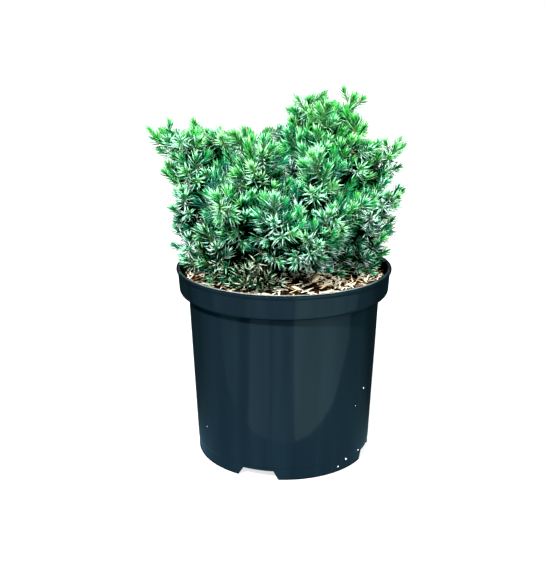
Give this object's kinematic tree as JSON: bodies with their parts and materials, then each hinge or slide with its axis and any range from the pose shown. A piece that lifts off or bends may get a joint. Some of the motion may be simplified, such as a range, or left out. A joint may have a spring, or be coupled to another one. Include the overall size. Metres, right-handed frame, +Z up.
{
  "type": "potted blue star juniper",
  "caption": "Young dwarf conifer: a short stem with fanned boughs and dense masses of short needles, standing in a round plastic nursery pot filled with potting mix.",
  "frame": {"origin": "centre of the pot's flat underside, on the ground", "axes": "+Z up, -Y the front, +X to the right seen from the front"},
  "size_m": [0.1997, 0.1871, 0.2865],
  "materials": {
    "pot_plastic": "semi-gloss dark teal moulded polypropylene",
    "potting_mix": "brown composted bark with pale straw on top",
    "bark": "thin red-brown flaking bark",
    "needles": "blue-green needles with silver bands, fresh green at the tips"
  },
  "bodies": {
    "root": {"pot": "pot_plastic", "potting_mix": "potting_mix", "stem": "bark", "bough_low_left": "bark", "foliage_low_left": "needles", "bough_low_front_left": "bark", "foliage_low_front_left": "needles", "bough_low_front": "bark", "foliage_low_front": "needles", "bough_low_front_right": "bark", "foliage_low_front_right": "needles", "bough_low_right": "bark", "foliage_low_right": "needles", "bough_low_back_right": "bark", "foliage_low_back_right": "needles", "bough_low_back_left": "bark", "foliage_low_back_left": "needles", "bough_skirt_left": "bark", "foliage_skirt_left": "needles", "bough_skirt_right": "bark", "foliage_skirt_right": "needles", "bough_mid_left": "bark", "foliage_mid_left": "needles", "bough_mid_front_left": "bark", "foliage_mid_front_left": "needles", "bough_mid_front": "bark", "foliage_mid_front": "needles", "bough_mid_front_right": "bark", "foliage_mid_front_right": "needles", "bough_mid_right": "bark", "foliage_mid_right": "needles", "bough_mid_back_right": "bark", "foliage_mid_back_right": "needles", "bough_mid_back": "bark", "foliage_mid_back": "needles", "bough_mid_back_left": "bark", "foliage_mid_back_left": "needles", "bough_top_left": "bark", "foliage_top_left": "needles", "bough_upper_left": "bark", "foliage_upper_left": "needles", "bough_top_front": "bark", "foliage_top_front": "needles", "bough_top_front_right": "bark", "foliage_top_front_right": "needles", "bough_top_back": "bark", "foliage_top_back": "needles", "bough_top_back_left": "bark", "foliage_top_back_left": "needles", "bough_top_right": "bark", "foliage_top_right": "needles", "bough_upper_right": "bark", "foliage_upper_right": "needles", "bough_tall_left": "bark", "foliage_tall_left": "needles", "bough_tall_right": "bark", "foliage_tall_right": "needles", "bough_tall_front": "bark", "foliage_tall_front": "needles"}
  },
  "joints": []
}
